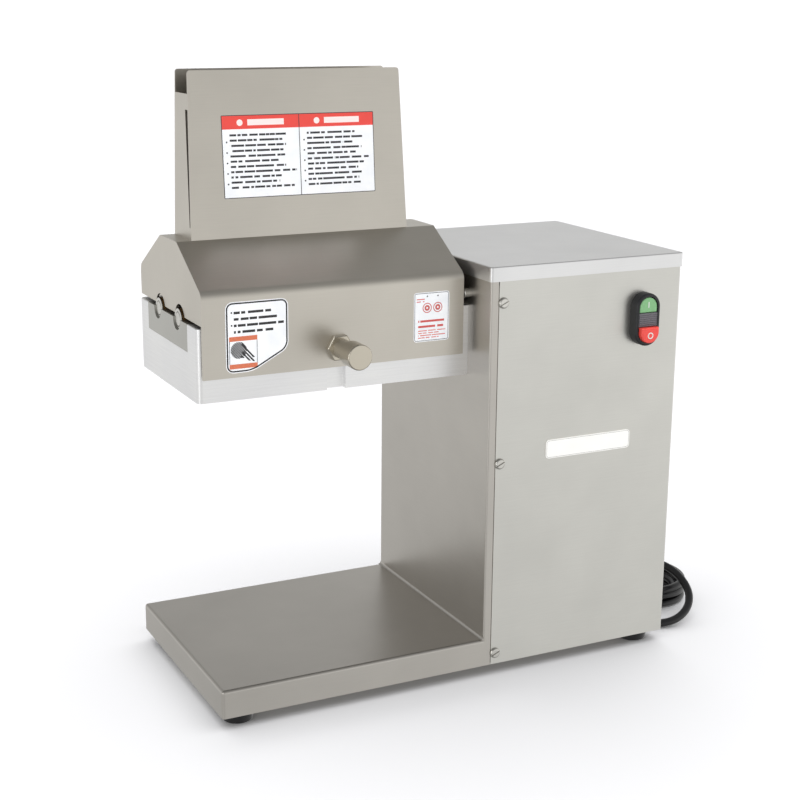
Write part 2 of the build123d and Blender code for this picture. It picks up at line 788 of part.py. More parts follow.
base_half = 55.0
pedestal_half = 40.0
base_inset = 14.0
base_plate = 4.0
base_floor = foot_height + sheet
with BuildPart() as motor_base:
    block(
        (motor_start + base_inset, motor_y - base_half, base_floor),
        (motor_end - base_inset, motor_y + base_half, base_floor + base_plate),
    )
    block(
        (motor_start + base_inset + 6, motor_y - pedestal_half, base_floor + base_plate),
        (motor_end - base_inset - 6, motor_y + pedestal_half, motor_z - motor_diameter / 4),
    )
    rod(motor_start, motor_end, motor_y, motor_z, motor_diameter / 2, Mode.SUBTRACT)
save(motor_base, "motor_base")

# ---- guard: folded shell with end plates, hinged at the back of the head ----
guard_outline = [
    (guard_front, guard_skirt_bottom),
    (guard_front, guard_shoulder),
    (head_y - guard_roof_depth / 2, guard_roof),
    (head_y + guard_roof_depth / 2, guard_roof),
    (guard_back, guard_shoulder),
    (guard_back, guard_end_bottom),
]
guard_bends = (guard_shoulder_radius, bend_radius, bend_radius, guard_shoulder_radius)
with BuildPart() as guard_shell:
    with BuildSketch(across(guard_left)):
        with BuildLine():
            FilletPolyline(*guard_outline, radius=guard_bends)
            offset(amount=guard_sheet, side=Side.RIGHT)
        make_face()
    extrude(amount=guard_right - guard_left)
    block(
        (chute_left + guard_sheet, chute_front + guard_sheet, guard_roof - 3 * guard_sheet),
        (chute_right - guard_sheet, chute_back - guard_sheet, guard_roof + 1),
        Mode.SUBTRACT,
    )
    with BuildSketch(facing(guard_front + 2 * guard_sheet, latch_x, latch_height)):
        Circle(latch_pin_diameter / 2 + 2)
    extrude(amount=3 * guard_sheet, mode=Mode.SUBTRACT)
save(guard_shell, "guard_shell")

low_z = guard_end_bottom - guard_sheet
end_outline = [(guard_front, low_z), *guard_outline[1:-1], (guard_back, low_z)]
with BuildPart() as guard_end_plates:
    for start_x in (guard_left, guard_right - guard_sheet):
        with BuildSketch(across(start_x)):
            with BuildLine():
                FilletPolyline(*end_outline, radius=guard_bends)
                Line(end_outline[-1], end_outline[0])
            make_face()
            offset(amount=-guard_sheet, mode=Mode.REPLACE)
            with Locations(*[(y, roller_height) for y in roller_ys]):
                Circle(guard_notch_radius, mode=Mode.SUBTRACT)
        extrude(amount=guard_sheet)
save(guard_end_plates, "guard_end_plates")

# ---- hinges behind the head ----
hinge_xs = (head_left + 45.0, wall_x - 45.0)
lug_width = 8.0
lug_gap = 26.0
eye_radius = 5.0
leaf_width = lug_gap - 2 * fit_gap
pin_radius = hinge_pin_diameter / 2
with BuildPart() as hinge_lugs:
    for x in hinge_xs:
        block(
            (x - lug_gap / 2 - lug_width, head_back, hinge_z - 24),
            (x + lug_gap / 2 + lug_width, head_back + 3, hinge_z + 2),
        )
        for side in (-1, 1):
            start_x = x + side * lug_gap / 2 - (lug_width if side < 0 else 0)
            block((start_x, head_back, hinge_z - eye_radius), (start_x + lug_width, hinge_y, hinge_z + eye_radius))
            rod(start_x, start_x + lug_width, hinge_y, hinge_z, eye_radius)
            rod(start_x, start_x + lug_width, hinge_y, hinge_z, pin_radius, Mode.SUBTRACT)
save(hinge_lugs, "hinge_lugs")

with BuildPart() as hinge_pins:
    for x in hinge_xs:
        reach = lug_gap / 2 + lug_width
        rod(x - reach, x + reach, hinge_y, hinge_z, pin_radius)
        rod(x + reach, x + reach + 2.5, hinge_y, hinge_z, eye_radius)
save(hinge_pins, "hinge_pins")

with BuildPart() as guard_hinge_leaves:
    for x in hinge_xs:
        start_x = x - leaf_width / 2
        block((start_x, guard_back, hinge_z + 1), (start_x + leaf_width, guard_back + 3, guard_shoulder - 6))
        block((start_x, guard_back, hinge_z + 1), (start_x + leaf_width, hinge_y, hinge_z + eye_radius))
        rod(start_x, start_x + leaf_width, hinge_y, hinge_z, eye_radius)
        rod(start_x, start_x + leaf_width, hinge_y, hinge_z, pin_radius + running_clearance, Mode.SUBTRACT)
save(guard_hinge_leaves, "guard_hinge_leaves")

# ---- feed chute: a leaning front plate and a folded back channel ----
front_back_face = chute_front + guard_sheet
with BuildPart() as chute_front_plate:
    for z, lean, taper in ((guard_roof, 0.0, 0.0), (chute_top, chute_lean, chute_taper)):
        with BuildSketch(level(z, (chute_left + chute_right) / 2, chute_front + guard_sheet / 2 + lean)):
            Rectangle(chute_right - chute_left - 2 * taper, guard_sheet)
    loft(ruled=True)
    fillet(chute_front_plate.faces().sort_by(Axis.Z)[-1].edges().filter_by(Axis.Y), chute_corner_radius)
save(chute_front_plate, "chute_front_plate")

side_top = chute_top - chute_side_drop
wedge_top = side_top - chute_tab
wedge_bottom = guard_roof + 12.0
with BuildPart() as chute_back_channel:
    for wall, mode in ((0.0, Mode.ADD), (guard_sheet, Mode.SUBTRACT)):
        for z, lean, taper in ((guard_roof, 0.0, 0.0), (chute_top, chute_lean, chute_taper)):
            low_y = front_back_face + lean - 3 * wall
            high_y = chute_back - wall
            with BuildSketch(level(z, (chute_left + chute_right) / 2, (low_y + high_y) / 2)):
                Rectangle(chute_right - chute_left - 2 * taper - 2 * wall, high_y - low_y)
        loft(ruled=True, mode=mode)
    block(
        (chute_left - 1, chute_front, side_top),
        (chute_right + 1, chute_back - guard_sheet, chute_top + 1),
        Mode.SUBTRACT,
    )
    with BuildSketch(across(chute_left - 1)):
        low_face = front_back_face + chute_lean * (wedge_bottom - guard_roof) / chute_height
        high_face = front_back_face + chute_lean * (wedge_top - guard_roof) / chute_height
        Polygon(
            (low_face - 1, wedge_bottom),
            (high_face - 1, wedge_top),
            (high_face + chute_wedge, wedge_top),
            (low_face + 2, wedge_bottom),
            align=None,
        )
    extrude(amount=chute_right - chute_left + 2, mode=Mode.SUBTRACT)
    top_face = chute_back_channel.faces().sort_by(Axis.Z)[-1]
    fillet(top_face.edges().filter_by(Axis.Y), chute_corner_radius)
save(chute_back_channel, "chute_back_channel")

# ---- pull latch on the guard's front ----
hex_length = 6.0
barrel_length = 31.0
knob_length = 20.0
latch_end_wall = 3.0
latch_bore = 7.0
collar_radius = latch_bore - 0.4
collar_start = 3.0
collar_length = 2.0
pin_end = guard_sheet + guard_gap + groove_depth - 1.5
pin_bore = latch_pin_diameter / 2 + running_clearance


def outward(distance):
    """Plane a given distance in front of the guard's face, on the latch's axis."""
    return facing(guard_front - distance, latch_x, latch_height)


with BuildPart() as latch_flange:
    with BuildSketch(outward(0)):
        RegularPolygon(latch_flange_diameter / 2 + 1.5, 6)
    extrude(amount=hex_length)
    chamfer(latch_flange.faces().sort_by(Axis.Y)[0].edges(), 0.8)
    with BuildSketch(outward(hex_length)):
        Circle(latch_stem_diameter / 2)
    extrude(amount=barrel_length - hex_length)
    with BuildSketch(outward(guard_sheet)):
        Circle(latch_bore)
    extrude(amount=barrel_length - guard_sheet - latch_end_wall, mode=Mode.SUBTRACT)
    with BuildSketch(outward(0)):
        Circle(pin_bore)
    extrude(amount=barrel_length, mode=Mode.SUBTRACT)
save(latch_flange, "latch_flange")

with BuildPart() as latch_plunger:
    with BuildSketch(outward(-pin_end)):
        Circle(latch_pin_diameter / 2)
    extrude(amount=pin_end + barrel_length + knob_length / 2)
    chamfer(latch_plunger.faces().sort_by(Axis.Y)[-1].edges(), 1.5)
    with BuildSketch(outward(collar_start)):
        Circle(collar_radius)
    extrude(amount=collar_length)
    with BuildSketch(outward(barrel_length + fit_gap)):
        Circle(latch_knob_diameter / 2)
    extrude(amount=knob_length)
    fillet(latch_plunger.faces().sort_by(Axis.Y)[0].edges(), 1.2)
save(latch_plunger, "latch_plunger")

spring_start = collar_start + collar_length + 0.6
spring_length = barrel_length - latch_end_wall - spring_start - 0.6
spring_turns = 6
wire_radius = 0.5
spring_radius = latch_bore - 1.2
with BuildPart() as latch_spring:
    with BuildLine() as coil_line:
        Helix(
            spring_length / spring_turns,
            spring_length,
            spring_radius,
            center=(latch_x, guard_front - spring_start, latch_height),
            direction=(0, -1, 0),
        )
    with BuildSketch(Plane(origin=coil_line.line @ 0, z_dir=coil_line.line % 0)):
        Circle(wire_radius)
    sweep()
save(latch_spring, "latch_spring")

# ---- guard sensor through the cabinet wall ----
with BuildPart() as guard_sensor:
    rod(wall_x - sensor_reach, wall_x + 24, sensor_y, sensor_height, sensor_radius)
    fillet(guard_sensor.faces().sort_by(Axis.X)[0].edges(), 1.0)
    with BuildSketch(across(wall_x + sheet, sensor_y, sensor_height)):
        RegularPolygon(8, 6)
    extrude(amount=5)
save(guard_sensor, "guard_sensor")

# ---- cord: gland, loose lead, put-away coil and plug ----
gland_y = front_y + gland_from_front
relief_tip = right_x + 34.0
with BuildPart() as cord_gland:
    rod(right_x - 12, right_x, gland_y, gland_height, 8.1)
    with BuildSketch(across(right_x, gland_y, gland_height)):
        Circle(11.0)
    extrude(amount=8)
    with BuildSketch(across(right_x + 8, gland_y, gland_height)):
        Circle(8.0)
    with BuildSketch(across(relief_tip, gland_y, gland_height)):
        Circle(cord_diameter / 2 + 1)
    loft()
    with BuildSketch(across(right_x - cover_sheet - 6, gland_y, gland_height)):
        RegularPolygon(12, 6)
    extrude(amount=6)
save(cord_gland, "cord_gland")

coil_x = right_x + coil_centre_from_wall
coil_y = front_y + coil_centre_from_front
with BuildPart() as cord_coil:
    with BuildSketch(level(0, coil_x, coil_y)):
        Circle(coil_radius)
        Circle(coil_radius - coil_columns * cord_diameter, mode=Mode.SUBTRACT)
    extrude(amount=coil_layers * cord_diameter)
    fillet(cord_coil.edges(), cord_diameter / 2 - 0.2)
save(cord_coil, "cord_coil")

lead_turns = [
    (0.0, 0.0, gland_height),
    (15.1, -0.25, 51.8),
    (29.1, -6.75, 49.0),
    (38.1, -20.25, 43.5),
    (41.1, -36.25, 36.0),
    (38.6, -52.25, 27.5),
    (29.6, -65.25, 19.0),
    (15.6, -73.25, 11.8),
    (-0.4, -75.25, 6.8),
    (-15.9, -70.75, 4.6),
    (-27.9, -60.25, 4.7),
    (-33.9, -45.25, 4.6),
    (-32.9, -28.75, 4.7),
    (-28.9, -12.25, 4.6),
    (-26.9, 4.25, 4.7),
    (-27.2, 21.75, 4.6),
]
lead_route = [(relief_tip + x, gland_y + y, z) for x, y, z in lead_turns]


def tube(route, node):
    """Cord along straight runs joined by arcs as large as the runs allow."""
    radii = []
    for before, corner, after in zip(route, route[1:], route[2:]):
        run_in = Vector(*corner) - Vector(*before)
        run_out = Vector(*after) - Vector(*corner)
        half_turn = radians(run_in.get_angle(run_out)) / 2
        radii.append(0.45 * min(run_in.length, run_out.length) / tan(half_turn))
    print(node, "radii", [round(radius, 1) for radius in radii])
    with BuildPart() as cord:
        with BuildLine() as path:
            FilletPolyline(*route, radius=radii)
        with BuildSketch(Plane(origin=path.line @ 0, z_dir=path.line % 0)):
            Circle(cord_diameter / 2)
        sweep()
    length = sum(edge.length for edge in path.edges())
    section = pi * (cord_diameter / 2) ** 2
    print(node, "length", round(length, 1), "volume over section x length", cord.part.volume / section / length)
    save(cord, node)


tube(lead_route, "cord_lead")

# ---- plug on the cord's far end, lying beside the coil ----
plug_x = coil_x - coil_radius + 11.5
plug_y = coil_y + 30.0
plug_z = 13.0
boot_length = 26.0
plug_length = 28.0
plug_half_width = 13.0
plug_half_height = 11.0
blade_length = 17.0
blade_width = 6.0
blade_thickness = 1.5
blade_spacing = 12.7
earth_pin_radius = 2.4
earth_pin_rise = 6.0
earth_pin_length = 19.0
with BuildPart() as power_plug:
    body_start = plug_y + boot_length
    body_end = body_start + plug_length
    with BuildSketch(facing(plug_y, plug_x, plug_z)):
        Circle(cord_diameter / 2 + 0.5)
    with BuildSketch(facing(body_start, plug_x, plug_z)):
        Circle(cord_diameter / 2 + 3)
    loft()
    block(
        (plug_x - plug_half_width, body_start, plug_z - plug_half_height),
        (plug_x + plug_half_width, body_end, plug_z + plug_half_height),
    )
    fillet(power_plug.edges().filter_by(Axis.Y).group_by(Axis.Y)[-1], 5)
    for side in (-1, 1):
        blade_x = plug_x + side * blade_spacing / 2
        block(
            (blade_x - blade_thickness / 2, body_end, plug_z - blade_width / 2),
            (blade_x + blade_thickness / 2, body_end + blade_length, plug_z + blade_width / 2),
        )
    with BuildSketch(facing(body_end, plug_x, plug_z + earth_pin_rise)):
        Circle(earth_pin_radius)
    extrude(amount=-earth_pin_length)
save(power_plug, "power_plug")
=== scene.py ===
"""Countertop electric meat tenderizer: finishes, labels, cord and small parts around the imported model."""

import json
import math

import bmesh
import bpy
from mathutils import Matrix, Vector


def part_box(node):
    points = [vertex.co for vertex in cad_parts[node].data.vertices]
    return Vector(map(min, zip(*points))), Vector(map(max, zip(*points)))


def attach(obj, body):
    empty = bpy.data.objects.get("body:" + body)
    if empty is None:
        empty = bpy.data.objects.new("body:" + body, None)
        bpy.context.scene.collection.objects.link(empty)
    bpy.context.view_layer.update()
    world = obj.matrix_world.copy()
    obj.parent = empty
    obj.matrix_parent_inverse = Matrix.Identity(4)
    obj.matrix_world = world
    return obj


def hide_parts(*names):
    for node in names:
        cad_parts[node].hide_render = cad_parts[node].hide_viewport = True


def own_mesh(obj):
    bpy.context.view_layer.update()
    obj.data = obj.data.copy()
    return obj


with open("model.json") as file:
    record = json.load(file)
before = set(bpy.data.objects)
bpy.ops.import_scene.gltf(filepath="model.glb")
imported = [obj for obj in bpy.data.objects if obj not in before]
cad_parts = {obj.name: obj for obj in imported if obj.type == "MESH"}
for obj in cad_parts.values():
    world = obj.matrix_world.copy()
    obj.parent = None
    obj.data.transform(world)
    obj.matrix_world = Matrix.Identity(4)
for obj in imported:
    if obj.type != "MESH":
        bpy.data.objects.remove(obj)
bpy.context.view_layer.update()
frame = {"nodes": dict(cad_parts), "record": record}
MM = 0.001
X_AXIS, Y_AXIS, Z_AXIS = Vector((1, 0, 0)), Vector((0, 1, 0)), Vector((0, 0, 1))


# ---- camera ----
CAMERA_AZIMUTH = math.radians(-26.498)
CAMERA_ELEVATION = math.radians(14.846)
CAMERA_ROLL = math.radians(0.467)
CAMERA_PLACE = Vector((-0.72214, -1.42578, 0.70297))
LENS_MM = 69.38


def make_camera():
    """Camera at the viewing angle, turned by azimuth, elevation and a slight roll."""
    camera = bpy.data.objects.new("camera", bpy.data.cameras.new("camera"))
    camera.data.lens = LENS_MM
    camera.data.sensor_width = 36.0
    camera.data.clip_end = 500.0
    across = Vector((math.cos(CAMERA_AZIMUTH), math.sin(CAMERA_AZIMUTH), 0.0))
    level_back = Vector((math.sin(CAMERA_AZIMUTH), -math.cos(CAMERA_AZIMUTH), 0.0))
    back = level_back * math.cos(CAMERA_ELEVATION) + Z_AXIS * math.sin(CAMERA_ELEVATION)
    up = back.cross(across)
    right = math.cos(CAMERA_ROLL) * across + math.sin(CAMERA_ROLL) * up
    top = math.cos(CAMERA_ROLL) * up - math.sin(CAMERA_ROLL) * across
    turn = Matrix((right, top, back)).transposed()
    camera.matrix_world = Matrix.Translation(CAMERA_PLACE) @ turn.to_4x4()
    bpy.context.scene.collection.objects.link(camera)
    bpy.context.scene.camera = camera


make_camera()


# ---- mesh helpers ----
def add_piece(name, mesh, body):
    """Object for a finished mesh, at the origin, riding on a body."""
    piece = bpy.data.objects.new(name, mesh)
    bpy.context.scene.collection.objects.link(piece)
    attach(piece, body)
    return piece


def finish_mesh(name, shape, body, smooth_degrees=40.0):
    """Turn a bmesh into a piece: doubles merged, faces outwards, shaded smooth up to an angle."""
    bmesh.ops.remove_doubles(shape, verts=shape.verts, dist=1e-6)
    bmesh.ops.recalc_face_normals(shape, faces=shape.faces)
    for face in shape.faces:
        face.smooth = True
    for edge in shape.edges:
        edge.smooth = len(edge.link_faces) == 2 and edge.calc_face_angle(0.0) < math.radians(smooth_degrees)
    mesh = bpy.data.meshes.new(name)
    shape.to_mesh(mesh)
    shape.free()
    return add_piece(name, mesh, body)


def turned(shape, profile, start, axis, steps=48):
    """Turn a profile of (distance along the axis, radius) about an axis, and add it to the bmesh."""
    side = axis.orthogonal().normalized()
    verts = [shape.verts.new(start + axis * along + side * radius) for along, radius in profile]
    edges = [shape.edges.new(pair) for pair in zip(verts, verts[1:])]
    bmesh.ops.spin(
        shape,
        geom=verts + edges,
        cent=start,
        axis=axis,
        angle=2 * math.pi,
        steps=steps,
        use_merge=True,
        use_duplicate=False,
    )


def soft_block(shape, low, high, radius, segments=3):
    """Box between two corners with all its edges rounded."""
    place = Matrix.Translation((low + high) / 2) @ Matrix.Diagonal((*(high - low), 1.0))
    made = bmesh.ops.create_cube(shape, size=1.0, matrix=place)
    bmesh.ops.bevel(
        shape,
        geom=list({edge for vert in made["verts"] for edge in vert.link_edges}),
        offset=radius,
        offset_type="OFFSET",
        affect="EDGES",
        segments=segments,
        profile=0.5,
        material=-1,
        clamp_overlap=True,
    )


# ---- cord: from the strain relief, down to the worktop and into a put-away coil ----
CORD_DIAMETER = 9 * MM
RELIEF_TIP = Vector((0.2946, -0.01775, 0.0520))
LEAD_ROUTE = [
    tuple(RELIEF_TIP),
    (0.3097, -0.0180, 0.0518),
    (0.3237, -0.0245, 0.0490),
    (0.3327, -0.0380, 0.0435),
    (0.3357, -0.0540, 0.0360),
    (0.3332, -0.0700, 0.0275),
    (0.3242, -0.0830, 0.0190),
    (0.3102, -0.0910, 0.0118),
    (0.2942, -0.0930, 0.0068),
    (0.2787, -0.0885, 0.0047),
    (0.2667, -0.0780, 0.0047),
    (0.2607, -0.0630, 0.0047),
    (0.2617, -0.0465, 0.0047),
    (0.2657, -0.0300, 0.0047),
    (0.2677, -0.0135, 0.0047),
]
COIL_CENTRE = Vector((0.3176, 0.00625, 0.0))
COIL_RADII = (0.0500, 0.0408)
COIL_LAYERS = (0.0047, 0.0138, 0.0229)
TURN_COLUMNS = (0, 1, 1, 0, 0)
TURN_LAYERS = (0, 0, 1, 1, 2)
POINTS_PER_TURN = 16
TAIL_ROUTE = [
    (0.2684, -0.0020, 0.0215),
    (0.2694, 0.0140, 0.0175),
    (0.2734, 0.0280, 0.0135),
    (0.2746, 0.0390, 0.0130),
]


def coil_points():
    """The turns of the coil, each easing to the next radius and layer over its last part."""
    points = []
    turns = len(TURN_COLUMNS)
    for turn in range(turns):
        following = min(turn + 1, turns - 1)
        for step in range(POINTS_PER_TURN - (1 if turn == turns - 1 else 0)):
            share = step / POINTS_PER_TURN
            ease = max(0.0, (share - 0.6) / 0.4)
            ease = ease * ease * (3 - 2 * ease)
            radius = COIL_RADII[TURN_COLUMNS[turn]] * (1 - ease) + COIL_RADII[TURN_COLUMNS[following]] * ease
            height = COIL_LAYERS[TURN_LAYERS[turn]] * (1 - ease) + COIL_LAYERS[TURN_LAYERS[following]] * ease
            angle = math.pi - 2 * math.pi * share
            side = Vector((math.cos(angle), math.sin(angle), 0.0))
            points.append(tuple(COIL_CENTRE + radius * side + height * Z_AXIS))
    return points


def make_cord():
    """Mesh tube around a smooth spline through the lead, the coil and the tail, and the line it follows."""
    curve = bpy.data.curves.new("cord_route", "CURVE")
    curve.dimensions = "3D"
    spline = curve.splines.new("NURBS")
    points = LEAD_ROUTE + coil_points() + TAIL_ROUTE
    spline.points.add(len(points) - 1)
    for point, place in zip(spline.points, points):
        point.co = (*place, 1.0)
    spline.order_u = 3
    spline.use_endpoint_u = True
    spline.resolution_u = 10
    route = bpy.data.objects.new("cord_route", curve)
    bpy.context.scene.collection.objects.link(route)
    line = bpy.data.meshes.new_from_object(route)
    path = [vertex.co.copy() for vertex in line.vertices]
    curve.bevel_depth = CORD_DIAMETER / 2
    curve.bevel_resolution = 6
    curve.use_fill_caps = True
    tube = bpy.data.meshes.new_from_object(route)
    tube.name = "power_cord"
    bpy.data.objects.remove(route)
    for polygon in tube.polygons:
        polygon.use_smooth = True
    return add_piece("power_cord", tube, "frame"), path


cord, cord_path = make_cord()


# ---- strain relief, ribbed and tapered ----
cover_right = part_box("side_cover")[1][0]
relief_start = Vector((cover_right, RELIEF_TIP.y, RELIEF_TIP.z))
relief_length = RELIEF_TIP.x - cover_right


def make_strain_relief():
    """Flanged bush through the cover, with a hexagon nut behind it and a ribbed taper down to the cord."""
    shape = bmesh.new()
    flange, collar, tip = 11.0 * MM, 8.0 * MM, CORD_DIAMETER / 2 + 0.9 * MM
    profile = [(-6 * MM, 0.0), (-6 * MM, collar), (0.0, collar), (0.0, flange - 0.8 * MM), (0.8 * MM, flange)]
    profile += [(5.2 * MM, flange), (6.0 * MM, flange - 0.8 * MM), (7.0 * MM, collar)]
    rib_count = 6
    rib_start = 7.5 * MM
    rib_pitch = (relief_length - rib_start - 1 * MM) / rib_count
    for rib in range(rib_count):
        along = rib_start + rib * rib_pitch
        radius = collar + (tip - collar) * rib / (rib_count - 1)
        groove = radius - (1.3 - 0.12 * rib) * MM
        profile += [(along, radius), (along + 0.55 * rib_pitch, radius - 0.2 * MM)]
        profile += [(along + 0.62 * rib_pitch, groove), (along + 0.93 * rib_pitch, groove)]
    profile += [(relief_length, tip), (relief_length, 0.0)]
    turned(shape, profile, relief_start, X_AXIS)
    section = [(-7, 8.2), (-7, 12), (-2, 12), (-2, 8.2), (-7, 8.2)]
    nut = [(along * MM, radius * MM) for along, radius in section]
    turned(shape, nut, relief_start, X_AXIS, steps=6)
    return finish_mesh("strain_relief", shape, "frame")


strain_relief = make_strain_relief()
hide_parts("cord_gland")


# ---- plug ----
PLUG_HALF = Vector((13.0, 14.0, 11.0)) * MM
BOOT_LENGTH = 26 * MM
BLADE_LENGTH = 17 * MM
plug_start = Vector((0.2746, 0.03625, 0.0130))


def make_plug():
    """Moulded plug with a ribbed boot, a grip and a raised front rim."""
    shape = bmesh.new()
    body_start = plug_start + Y_AXIS * BOOT_LENGTH
    middle = body_start + Y_AXIS * PLUG_HALF.y
    soft_block(shape, middle - PLUG_HALF, middle + PLUG_HALF - Y_AXIS * 4 * MM, 4.5 * MM, segments=4)
    rim = Vector((PLUG_HALF.x, 4 * MM, PLUG_HALF.z)) - Vector((0.2, 0, 0.2)) * MM
    rim_middle = middle + Y_AXIS * (PLUG_HALF.y - 4 * MM)
    soft_block(shape, rim_middle - rim, rim_middle + rim, 1.2 * MM, segments=2)
    for side in (-1, 1):
        for rib in range(4):
            centre = middle + Vector((side * (PLUG_HALF.x - 0.5 * MM), (rib * 3.4 - 8.0) * MM, 0.0))
            half = Vector((0.8, 0.8, 6.0)) * MM
            soft_block(shape, centre - half, centre + half, 0.4 * MM, segments=2)
    profile = [(0.0, 0.0), (0.0, CORD_DIAMETER / 2 + 0.6 * MM)]
    rib_count = 5
    pitch = BOOT_LENGTH / rib_count
    for rib in range(rib_count):
        radius = CORD_DIAMETER / 2 + (1.0 + 0.5 * rib) * MM
        profile += [(pitch * (rib + 0.15), radius), (pitch * (rib + 0.65), radius)]
        profile += [(pitch * (rib + 0.72), radius - 1.0 * MM), (pitch * (rib + 1.0), radius - 1.0 * MM)]
    profile += [(BOOT_LENGTH + 2 * MM, 7.0 * MM), (BOOT_LENGTH + 2 * MM, 0.0)]
    turned(shape, profile, plug_start, Y_AXIS)
    return finish_mesh("plug_body", shape, "frame")


def make_plug_blades():
    """Two flat blades with rounded ends and a round earth pin."""
    shape = bmesh.new()
    face = plug_start + Y_AXIS * (BOOT_LENGTH + 2 * PLUG_HALF.y - 1 * MM)
    for side in (-1, 1):
        low = face + Vector((side * 6.35 - 0.75, 0.0, -3.0)) * MM
        high = low + Vector((1.5 * MM, BLADE_LENGTH, 6 * MM))
        soft_block(shape, low, high, 0.5 * MM, segments=2)
    pin = [(0.0, 0.0), (0.0, 2.4 * MM), (17.4 * MM, 2.4 * MM), (19.2 * MM, 1.5 * MM), (19.6 * MM, 0.0)]
    turned(shape, pin, face + Z_AXIS * 6 * MM, Y_AXIS, steps=24)
    return finish_mesh("plug_blades", shape, "frame")


plug_body = make_plug()
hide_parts("power_plug")
plug_blades = make_plug_blades()

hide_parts("cord_lead", "cord_coil")


def make_latch_coil():
    """The coil spring's own shape with its points joined, because it closes up with the latch."""
    shape = bmesh.new()
    shape.from_mesh(bpy.data.objects["latch_spring"].data)
    return finish_mesh("latch_coil", shape, "guard")


latch_coil = make_latch_coil()
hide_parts("latch_spring")
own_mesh(latch_coil)


# ---- pushbutton details ----
lens_low, lens_high = (Vector(corner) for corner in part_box("switch_lens"))


def make_lens():
    """Smoked lens between the buttons, with level ribs across its face."""
    shape = bmesh.new()
    soft_block(shape, lens_low + Y_AXIS * 0.9 * MM, lens_high, 0.3 * MM, segments=2)
    rib_count = 7
    pitch = (lens_high.z - lens_low.z) / rib_count
    for rib in range(rib_count):
        centre_z = lens_low.z + (rib + 0.5) * pitch
        low = Vector((lens_low.x + 0.3 * MM, lens_low.y, centre_z - 0.25 * pitch))
        high = Vector((lens_high.x - 0.3 * MM, lens_low.y + 1.4 * MM, centre_z + 0.25 * pitch))
        soft_block(shape, low, high, 0.35 * MM, segments=2)
    return finish_mesh("ribbed_lens", shape, "frame")


ribbed_lens = make_lens()
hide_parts("switch_lens")


def button_face(node):
    """Middle of a button's front face."""
    low, high = (Vector(corner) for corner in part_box(node))
    return Vector(((low.x + high.x) / 2, low.y, (low.z + high.z) / 2))


def make_start_mark():
    """Raised upright bar, the on symbol."""
    shape = bmesh.new()
    half = Vector((0.6, 0.35, 3.2)) * MM
    centre = button_face("start_button")
    soft_block(shape, centre - half, centre + half, 0.3 * MM, segments=2)
    return finish_mesh("start_mark", shape, "start")


def make_stop_mark():
    """Raised ring, the off symbol."""
    shape = bmesh.new()
    section = [(-0.35, 3.4), (-0.35, 2.4), (0.3, 2.3), (0.3, 3.5), (-0.35, 3.4)]
    profile = [(along * MM, radius * MM) for along, radius in section]
    turned(shape, profile, button_face("stop_button"), Y_AXIS, steps=32)
    return finish_mesh("stop_mark", shape, "stop")


start_mark = make_start_mark()
stop_mark = make_stop_mark()


# ---- printed labels: thin film, its print drawn by its material ----
LABEL_FILM = 0.15 * MM


def make_label(name, outline, rounding, origin, up, border=0.0, body="guard"):
    """Film with rounded corners from an outline of (across, up) in mm, standing off a sheet's front face.
    A border of the given width, set in a little from the edge, takes the second material."""
    shape = bmesh.new()
    verts = [shape.verts.new(origin + X_AXIS * x * MM + up * z * MM) for x, z in outline]
    shape.faces.new(verts)
    rounded = {"affect": "VERTICES", "segments": 6, "profile": 0.5, "material": -1}
    bmesh.ops.bevel(shape, geom=verts, offset=rounding * MM, **rounded)
    made = bmesh.ops.extrude_face_region(shape, geom=list(shape.faces))
    moved = [item for item in made["geom"] if isinstance(item, bmesh.types.BMVert)]
    bmesh.ops.translate(shape, verts=moved, vec=X_AXIS.cross(up).normalized() * LABEL_FILM)
    if border:
        front = [item for item in made["geom"] if isinstance(item, bmesh.types.BMFace)]
        bmesh.ops.inset_region(shape, faces=front, thickness=0.8 * MM, use_even_offset=True)
        ring = bmesh.ops.inset_region(shape, faces=front, thickness=border * MM, use_even_offset=True)
        for face in ring["faces"]:
            face.material_index = 1
    return finish_mesh(name, shape, body, smooth_degrees=20.0)


def rectangle(width, height):
    """Outline of a rectangle from its lower left corner."""
    return [(0, 0), (width, 0), (width, height), (0, height)]


CHUTE_LABEL = (162.5, 80.0)
GUARD_LABEL = (64.0, 69.0)
ROLLER_LABEL = (40.0, 50.5)
LABEL_LIFT = 0.03 * MM

chute_low, chute_high = (Vector(corner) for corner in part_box("chute_front_plate"))
CHUTE_SHEET = 2.0 * MM
chute_up = Vector((0.0, chute_high.y - CHUTE_SHEET - chute_low.y, chute_high.z - chute_low.z)).normalized()
chute_foot = Vector((chute_low.x + 36.0 * MM, chute_low.y, chute_low.z)) + chute_up * 38.5 * MM
chute_foot -= Y_AXIS * LABEL_LIFT
chute_label = make_label("chute_label", rectangle(*CHUTE_LABEL), 1.0, chute_foot, chute_up)

guard_low = Vector(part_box("guard_shell")[0]) - Y_AXIS * LABEL_LIFT
guard_place = guard_low + Vector((23.5, 0.0, 4.5)) * MM
guard_width, guard_height = GUARD_LABEL
guard_outline = [
    (0, 0),
    (0.42 * guard_width, 0),
    (guard_width, 0.29 * guard_height),
    (guard_width, guard_height),
    (0, guard_height),
]
guard_label = make_label("guard_label", guard_outline, 7.0, guard_place, Z_AXIS, border=1.5)
roller_place = guard_low + Vector((223.0, 0.0, 16.5)) * MM
roller_label = make_label("roller_label", rectangle(*ROLLER_LABEL), 3.0, roller_place, Z_AXIS, border=0.6)

badge_low, badge_high = (Vector(corner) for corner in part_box("badge_plate"))
badge_size = (badge_high - badge_low) / MM
badge_outline = rectangle(badge_size.x, badge_size.z)
badge_face = make_label("badge_face", badge_outline, 4.0, badge_low, Z_AXIS, border=0.45, body="frame")


